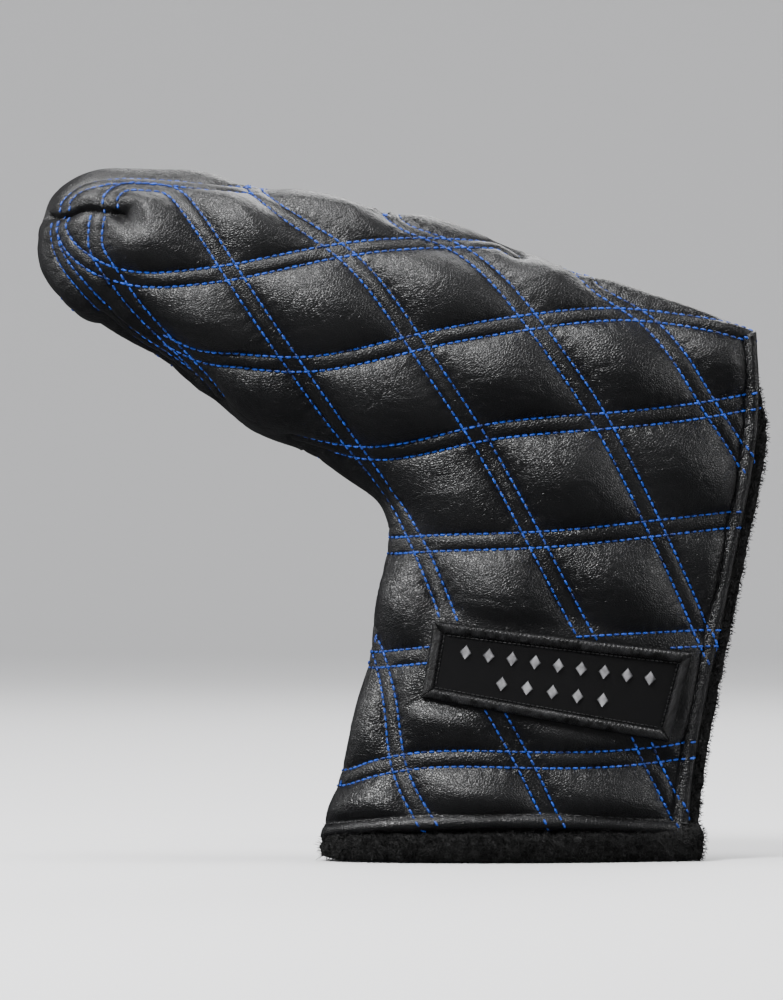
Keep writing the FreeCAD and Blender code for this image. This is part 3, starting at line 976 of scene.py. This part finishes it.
PATCH_BORDER = 3.0
FIELD_RISE = 0.1
SATIN_RISE = 0.65
SATIN_PITCH = 0.36
SATIN_RADIUS = 0.2
SATIN_STEPS = 7
SATIN_SPREAD = (0.96, 1.03)
INNER_LINE_GAP = 0.35
INNER_LINE_PITCH = 1.25
INNER_LINE_LENGTH = 1.05
INNER_LINE_RADIUS = 0.17
INNER_LINE_RISE = 0.12
CLOTH_TUCK = -1.6
CLOTH_CELLS = (52, 150)
# A row of lozenges: its place down the patch, how many, and where along the patch it starts and ends.
EMBLEM_ROWS = [(0.34, 9, 0.14, 0.86), (0.66, 5, 0.3, 0.7)]
EMBLEM_HALF_WIDTH = 1.7
EMBLEM_HALF_HEIGHT = 1.9
SILVER_PITCH = 0.27
SILVER_RADIUS = 0.16
SILVER_RISE = 0.15
SILVER_START = 0.2


def on_patch(x, z):
    """How far inside the patch's outline a place is."""
    return -past_patch(np.array([(x, z)]))[0]


def patch_height(depth):
    """The rise of the patch at a distance inside its outline: a satin ridge, then the level field."""
    ridge = math.sqrt(max(1 - ((depth - PATCH_BORDER / 2) / (PATCH_BORDER / 2)) ** 2, 0))
    return FIELD_RISE + SATIN_RISE * ridge


def above_skin(panel, x, z, lift):
    """A point that stands off the smooth skin, and the normal there."""
    place, normal = cast(panel.tree, x, z, panel.side)
    if normal.y * OUTWARD[panel.side] < 0:
        normal = -normal
    return np.array(place + normal * lift), np.array(normal)


def tucked(count):
    """Shares of the way across a cloth, each end twice, so that its outermost line can be tucked under."""
    return np.concatenate(([0, 0], np.linspace(0, 1, count)[1:-1], [1, 1]))


def patch_cloth_piece(panel, material):
    """The patch's cloth, with the ridge that the satin lies on and its edge tucked into the leather."""
    top_left, top_right, bottom_right, bottom_left = np.array(PATCH)
    down, along = (tucked(count) for count in CLOTH_CELLS)
    points = np.zeros((len(down), len(along), 3))
    for i, v in enumerate(down):
        for j, u in enumerate(along):
            top = top_left + (top_right - top_left) * u
            low = bottom_left + (bottom_right - bottom_left) * u
            x, z = top + (low - top) * v
            outermost = i in (0, len(down) - 1) or j in (0, len(along) - 1)
            lift = CLOTH_TUCK if outermost else patch_height(on_patch(x, z)) - SATIN_RADIUS / 2
            points[i, j] = above_skin(panel, x, z, lift)[0]
    return finished("patch_field", lattice_mesh("patch_field", points), material, flip=True)


def laid_thread(panel, start, end, height, steps=SATIN_STEPS):
    """A run of points over the patch from one (x, z) to another."""
    shares = np.linspace(0, 1, steps)
    places = [above_skin(panel, *(start + (end - start) * share), 0) for share in shares]
    points = [place + normal * height(on_patch(place[0], place[2])) for place, normal in places]
    return np.array(points), np.array([normal for place, normal in places])


def satin_piece(panel, material):
    """Satin stitches across the border, mitred at the corners, and a line of stitches inside them."""
    runs = []
    lines = []
    for a, along, inward, length in patch_sides():
        for s in np.arange(SATIN_PITCH, length - SATIN_PITCH / 2, SATIN_PITCH):
            reach = min(PATCH_BORDER, s, length - s) * random.uniform(*SATIN_SPREAD)
            start = a + along * s
            runs.append(laid_thread(panel, start, start + inward * reach, patch_height))
        for s in np.arange(PATCH_BORDER + 1, length - PATCH_BORDER - 0.5, INNER_LINE_PITCH):
            start = a + along * s + inward * (PATCH_BORDER + INNER_LINE_GAP)
            end = start + along * INNER_LINE_LENGTH
            lines.append(laid_thread(panel, start, end, lambda depth: FIELD_RISE + INNER_LINE_RISE, 3))
    name = "patch_satin"
    satin = threads("satin", runs, SATIN_RADIUS)
    inner_line = threads("inner_line", lines, INNER_LINE_RADIUS)
    return finished(name, joined_mesh(name, [satin, inner_line]), material)


def emblem_piece(panel, material):
    """Two rows of lozenges in satin stitch."""
    top_left, top_right, bottom_right, bottom_left = np.array(PATCH)
    slant = unit(top_right - top_left)
    upward = np.array((-slant[1], slant[0]))
    runs = []
    for down, count, first, last in EMBLEM_ROWS:
        left = top_left + (bottom_left - top_left) * down
        right = top_right + (bottom_right - top_right) * down
        for share in np.linspace(first, last, count):
            centre = left + (right - left) * share
            for rise in np.arange(SILVER_START - EMBLEM_HALF_HEIGHT, EMBLEM_HALF_HEIGHT, SILVER_PITCH):
                half = slant * EMBLEM_HALF_WIDTH * (1 - abs(rise) / EMBLEM_HALF_HEIGHT)
                middle = centre + upward * rise
                runs.append(laid_thread(panel, middle - half, middle + half,
                                        lambda depth: FIELD_RISE + SILVER_RISE, 4))
    name = "patch_lozenges"
    return finished(name, threads(name, runs, SILVER_RADIUS, along=5), material)


# ---- lining ----

LINING_SPACING = 1.0
LINING_COLUMNS = 110
LINING_OUTSIDE = 5.0
LINING_INSIDE = 8.0
FLEECE_CLUMP = 0.8
FLEECE_FLARE = 4.2
FLARE_TOP = 12.0
FLARE_BAND = 6.0
RIM_TUCK = 0.9
RIM_BAND = 2.5
RIM_BULGE = 0.6
RIM_STEPS = 7
FLEECE_PROUD = 4.6
FLEECE_TOP = 139.0
FLEECE_BAND = 28.0
PROUD_COLUMNS = 14
FIBRE_RADIUS = 0.08
FIBRE_LEAN = 0.9
FIBRE_CURL = 0.45
FIBRES = 4200
RIM_FIBRE = (0.9, 2.0)
EDGE_FIBRE = (0.6, 1.2)
DROOP = 0.8


def fibres(bag, normals, chosen, shortest_longest):
    """Short curled hairs that stand out of the fleece at the chosen places."""
    runs = []
    for row, column in chosen:
        root = bag[row, column]
        swing = np.array([random.uniform(-FIBRE_LEAN, FIBRE_LEAN) for _ in range(3)])
        lean = unit(normals[row, column] + swing)
        curl = np.array([random.uniform(-1, 1) for _ in range(3)])
        reach = random.uniform(*shortest_longest)
        steps = np.linspace(0, 1, 5)[:, None]
        points = root + lean * reach * steps + curl * reach * FIBRE_CURL * steps ** 2
        points[:, 2] = np.maximum(points[:, 2], FIBRE_RADIUS)
        if np.linalg.norm(points[-1] - points[0]) < 0.3:
            continue
        across = unit(np.cross(lean, curl + 0.01))
        runs.append((points, np.repeat([across], len(points), axis=0)))
    return threads("fibres", runs, FIBRE_RADIUS, around=3, along=4)


def fleece_outside(outer):
    """The bag's outer face: it flares below the leather's hem and stands out past the open edge."""
    wide = outer.points.shape[1]
    height = outer.points[..., 2]
    flare = FLEECE_FLARE * ease((FLARE_TOP - height) / FLARE_BAND)
    flare = (flare - RIM_TUCK * ease((RIM_BAND - height) / RIM_BAND)) * outer.edge_rows[:, None]
    outward = unit((outer.points[:, -1] - outer.points[:, -20]) * (1, 0, 1))
    proud = FLEECE_PROUD * ease((FLEECE_TOP - height[:, -1]) / FLEECE_BAND) * outer.edge_rows
    near_edge = ease(1 - (wide - 1 - np.arange(wide)) / PROUD_COLUMNS)
    outside = outer.points + outer.normals * flare[..., None]
    outside += outward[:, None] * (proud[:, None] * near_edge)[..., None]
    outside[:, 0, 1] = 0
    return outside


def fleece_rim(bag, wide):
    """The rounded rim between the bag's two faces, resting on the ground."""
    outside = bag[-1, :wide]
    inside = bag[-1, wide:][::-1]
    steps = []
    for share in np.linspace(0, 1, RIM_STEPS):
        line = outside + (inside - outside) * share
        steps.append(line - np.array((0, 0, RIM_BULGE)) * math.sin(math.pi * share))
    rim = np.stack(steps, axis=0)
    rim[..., 2] = np.maximum(rim[..., 2], 0.0)
    return rim


def lining_piece(side, material, outer, inner):
    """The fleece bag's share of one side: its outer face, its inner face, and the rim between them."""
    wide = outer.points.shape[1]
    bag = sided(np.concatenate((fleece_outside(outer), inner.points[:, ::-1]), axis=1), side)
    normals = sided(np.concatenate((outer.normals, -inner.normals[:, ::-1]), axis=1), side)
    flat = bag.reshape(-1, 3)
    clumps = wavy(flat, 2.1, 11) + 0.6 * wavy(flat, 1.1, 12)
    bag = bag + normals * (FLEECE_CLUMP * clumps.reshape(bag.shape[:2])[..., None])
    bag[:, [0, -1], 1] = 0
    rows = len(bag)
    rim = fleece_rim(bag, wide)
    first_edge = int(np.argmax(outer.edge_rows)) + 6
    count = FIBRES
    at_rim = [(rows - 1 - int(random.uniform(0, 9)), random.randrange(2, wide)) for _ in range(count)]
    at_edge = [(random.randrange(first_edge, rows), wide - 1 + random.randrange(-4, 3))
               for _ in range(count)]
    below = np.array((0, 0, -DROOP))
    downward = unit(normals + below * ease((7.0 - bag[..., 2:]) / 6.0))
    outward = unit(bag[:, wide - 1] - bag[:, wide - 8])
    outward = unit(normals * 0.3 + outward[:, None, :])
    name = "lining_" + side
    parts = [lattice_mesh(name, bag), lattice_mesh(name, rim),
             fibres(bag, downward, at_rim, RIM_FIBRE), fibres(bag, outward, at_edge, EDGE_FIBRE)]
    return finished(name, joined_mesh(name, parts), material, flip=side == "front")


# ---- the closing strips ----

STRIP_FROM_EDGE = 4.5
STRIP_WIDTH = 10.0
STRIP_END = 12.0
STRIP_CELLS = 14
STRIP_SPAN = (0.03, 0.97)
STRIP_HEIGHT = 1.0
STRIP_FROM_MIDDLE = 0.15
NUBS = 1500
NUB_LENGTH = 0.9
NUB_DIP = 0.1
NUB_SPAN = (0.06, 0.94)
LOOP_RADIUS = 0.2
HOOK_RADIUS = 0.12


def fold_across():
    """The direction across the fold line, towards the flap."""
    across = np.cross(unit(FOLD_BOTTOM - FOLD_TOP), (0, 1, 0))
    return across if across[0] > 0 else -across


def strip_piece(name, panel, radius, material):
    """A woven tape inside the open edge, covered with the small loops or hooks that close it."""
    skin = panel.skin
    sign = OUTWARD[panel.side]
    edge = skin.points[skin.edge_rows, -1]
    inside = skin.points[skin.edge_rows, 0]
    into = unit((inside - edge) * (1, 0, 1))
    innermost = edge + into * (STRIP_FROM_EDGE + STRIP_WIDTH)
    keep = ((edge - FOLD_TOP) @ fold_across() > 1.0) & (edge[:, 2] > STRIP_END)
    keep &= (innermost - FOLD_TOP) @ fold_across() > 0.5
    edge, into = edge[keep], into[keep]
    shares = np.concatenate(([0, 0], np.linspace(*STRIP_SPAN, STRIP_CELLS), [1, 1]))
    drop = np.concatenate(([1.0, 0.5], np.zeros(STRIP_CELLS), [0.5, 1.0])) * STRIP_HEIGHT
    points = edge[:, None] + into[:, None] * (STRIP_FROM_EDGE + STRIP_WIDTH * shares)[None, :, None]
    points[..., 1] = sign * (STRIP_FROM_MIDDLE + drop[None, :])
    frames = []
    for _ in range(NUBS):
        row = random.randrange(1, len(edge) - 1)
        place = edge[row] + into[row] * (STRIP_FROM_EDGE + STRIP_WIDTH * random.uniform(*NUB_SPAN))
        place[1] = sign * STRIP_FROM_MIDDLE
        lean = Vector((random.uniform(-1, 1), 0, random.uniform(-1, 1)))
        frames.append(frame_at(place, lean, Vector((0, -sign, 0))))
    nubs = scattered(name, capsule(NUB_LENGTH, radius, NUB_DIP, 4, 4), frames)
    mesh = joined_mesh(name, [lattice_mesh(name, points), nubs])
    return finished(name, mesh, material, flip=panel.side == "back")


# ---- stage: metres and watts ----

FLOOR_INNER = 0.02
FLOOR_FLAT = 0.8
FLOOR_CURVE_FROM = 2.6
FLOOR_CURVE = (1.9, 2.0)
FLOOR_TURNS = 96
# Each light: its name, place, size and power, and whether it shows in the gloss.
LIGHTS = [
    ("key", (-0.65, -0.75, 1.15), (0.5, 0.4), 38, True),
    ("overhead", (0.0, 0.0, 3.4), (5.5, 5.5), 210, False),
    ("top", (-0.15, -0.1, 1.3), (0.5, 0.35), 12, True),
    ("left_edge", (-1.3, 0.3, 0.55), (0.25, 0.7), 5, True),
    ("right_edge", (1.3, -0.1, 0.5), (0.3, 0.9), 7, True),
    ("behind", (0.3, 1.2, 1.0), (0.9, 0.5), 12, True),
]
LIT_POINT = (0, 0, 0.1)
WORLD_COLOUR = (0.8, 0.82, 0.85, 1)
WORLD_STRENGTH = 0.1
CAMERA_LENS = 260
CAMERA_PLACE = (-0.003, -1.958, 0.0977)


def backdrop():
    """A wide pale floor that curves up all round, well clear of the cover."""
    profile = [(FLOOR_INNER, 0.0), (FLOOR_FLAT, 0.0)]
    outwards, upwards = FLOOR_CURVE
    for angle in np.linspace(0, math.pi / 2, 16):
        profile.append((FLOOR_CURVE_FROM + outwards * math.sin(angle), upwards * (1 - math.cos(angle))))
    bm = bmesh.new()
    start = [bm.verts.new((radius, 0, z)) for radius, z in profile]
    edges = [bm.edges.new(pair) for pair in zip(start, start[1:])]
    bmesh.ops.spin(bm, geom=start + edges, cent=(0, 0, 0), axis=(0, 0, 1), angle=2 * math.pi,
                   steps=FLOOR_TURNS)
    bmesh.ops.remove_doubles(bm, verts=bm.verts, dist=0.0005)
    hole = [edge for edge in bm.edges if edge.is_boundary and edge.verts[0].co.length < 0.1]
    bmesh.ops.contextual_create(bm, geom=hole)
    bmesh.ops.recalc_face_normals(bm, faces=bm.faces)
    for face in bm.faces:
        face.smooth = True
    mesh = mesh_of(bm, "backdrop")
    material, tree, shader = new_material("backdrop_paper", (0.66, 0.66, 0.67), 0.9)
    tooth = texture(tree, "ShaderNodeTexNoise", 300, Detail=2.0)
    tree.links.new(bump(tree, tooth.outputs["Fac"], 0.0002, 0.2), shader.inputs["Normal"])
    mesh.materials.append(material)
    floor = bpy.data.objects.new("backdrop", mesh)
    bpy.context.scene.collection.objects.link(floor)
    floor.visible_glossy = False


def lights():
    """Soft boxes round the cover, and a faint even light from everywhere."""
    for name, place, size, power, mirrored in LIGHTS:
        data = bpy.data.lights.new(name, "AREA")
        data.shape = "RECTANGLE"
        data.size, data.size_y = size
        data.energy = power
        light = bpy.data.objects.new(name, data)
        light.location = place
        aim = Vector(LIT_POINT) - Vector(place)
        light.rotation_euler = aim.to_track_quat("-Z", "Y").to_euler()
        light.visible_glossy = mirrored
        bpy.context.scene.collection.objects.link(light)
    world = bpy.data.worlds.new("studio")
    world.use_nodes = True
    background = world.node_tree.nodes["Background"]
    background.inputs["Color"].default_value = WORLD_COLOUR
    background.inputs["Strength"].default_value = WORLD_STRENGTH
    bpy.context.scene.world = world


def camera():
    """A level view of the front from far off."""
    data = bpy.data.cameras.new("camera")
    data.lens = CAMERA_LENS
    data.clip_start, data.clip_end = 0.01, 30
    eye = bpy.data.objects.new("camera", data)
    eye.location = CAMERA_PLACE
    eye.rotation_euler = (math.pi / 2, 0, 0)
    bpy.context.scene.collection.objects.link(eye)
    bpy.context.scene.camera = eye


# ---- the whole cover ----


def blended(piece):
    """Bakes the piece's place into its mesh."""
    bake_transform(piece)


def on_body(piece, side):
    """The front rides on the cover. The back's place is baked into its mesh."""
    if side == "front":
        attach(piece, "cover")
    else:
        blended(piece)


def dressed(piece, body, slot, *nodes):
    """A piece that rides on one body and stands in for some nodes. The slot is not used."""
    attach(piece, body)
    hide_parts(*nodes)


# The nodes that a side's leather, lining, steep rows, shallow rows and topstitch stand in for.
REPLACED = {
    "front": (["front_leather", "front_wadding", "seam_tape"], ["front_lining"],
              ["front_steep_thread"], ["front_shallow_thread"], ["front_edge_stitch"]),
    "back": (["back_leather", "flap_leather", "back_wadding", "flap_wadding"],
             ["back_lining", "flap_lining"], ["back_steep_thread", "flap_steep_thread"],
             ["back_shallow_thread", "flap_shallow_thread"], ["back_edge_stitch", "flap_edge_stitch"]),
}
FULL_GRID = (0.62, 196)


def leather_skin(spacing, columns):
    """The leather's smooth skin, whose lower rim arches up towards the middle of each side."""
    skin = Skin(LEATHER_LAST, 0.0, spacing, columns, HEM_HALF)
    share = np.linspace(0, 1, columns + 1)
    arch = 4 * share * (1 - share)
    skin.points[..., 2] += HEM_ARCH * ease((skin.down_neck[:, None] - 0.6) / 0.4) * arch[None, :]
    return skin


def build():
    """Makes every piece, says what each stands in for, and hangs all but the back's side pieces on a body.
    """
    spacing, columns = FULL_GRID
    leather = leather_material()
    # Each thread's first colour is its painted shade and its second is its painted highlight.
    blue = thread_material("blue_thread", (0.002, 0.010, 0.07), (0.004, 0.065, 0.45))
    black = thread_material("black_thread", (0.003, 0.003, 0.003), (0.014, 0.014, 0.015))
    satin = thread_material("satin_thread", (0.001, 0.001, 0.001), (0.016, 0.016, 0.017), 0.38)
    silver = thread_material("silver_thread", (0.10, 0.10, 0.105), (0.30, 0.30, 0.31), 0.3)
    fleece = fleece_material()
    skin = leather_skin(spacing, columns)
    outer = Skin(LINING_LAST, LINING_OUTSIDE, LINING_SPACING, LINING_COLUMNS, 1.5, edge_inset=2.5)
    inner = Skin(LINING_LAST, LINING_INSIDE, LINING_SPACING, LINING_COLUMNS, 1.0, edge_inset=8.0)
    panels = {
        "front": Panel("front", skin, FRONT_STEEP, FRONT_SHALLOW),
        "back": Panel("back", skin, BACK_STEEP, BACK_SHALLOW),
    }
    inner_line = (panels["front"].height[:, 0] + panels["back"].height[:, 0]) / 2
    ridge_line = (panels["front"].height[:, -1] + panels["back"].height[:, -1]) / 2
    for line in (inner_line, ridge_line):
        line += (line.mean() - line) * OUTLINE_CALM
    for side, panel in panels.items():
        panel.shape(inner_line, ridge_line)
        pieces = (
            (leather_piece(panel, leather), "leather"),
            (lining_piece(side, fleece, outer, inner), "fleece"),
            (quilting_piece(panel, "steep", blue), "blue_thread"),
            (quilting_piece(panel, "shallow", blue), "blue_thread"),
            (topstitch_piece(panel, black), "black_thread"),
        )
        for (piece, slot), nodes in zip(pieces, REPLACED[side]):
            on_body(piece, side)
            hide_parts(*nodes)
    front, back = panels["front"], panels["back"]
    dressed(toe_seam_piece(panels, black), "cover", "black_thread", "toe_seam")
    weave = cloth_material("patch_twill", (0.0035, 0.0035, 0.004), 1900)
    dressed(patch_cloth_piece(front, weave), "cover", "patch_cloth", "patch_cloth")
    dressed(satin_piece(front, satin), "cover", "satin", "patch_border")
    dressed(emblem_piece(front, silver), "cover", "silver_thread", "patch_emblem")
    tape = cloth_material("woven_tape", (0.010, 0.010, 0.011), 2400)
    loops = strip_piece("loop_tape", front, LOOP_RADIUS, tape)
    dressed(loops, "cover", "tape", "loop_strip")
    hooks = strip_piece("hook_tape", back, HOOK_RADIUS, tape)
    dressed(hooks, "flap", "hook_tape", "hook_strip")


build()
backdrop()
lights()
camera()
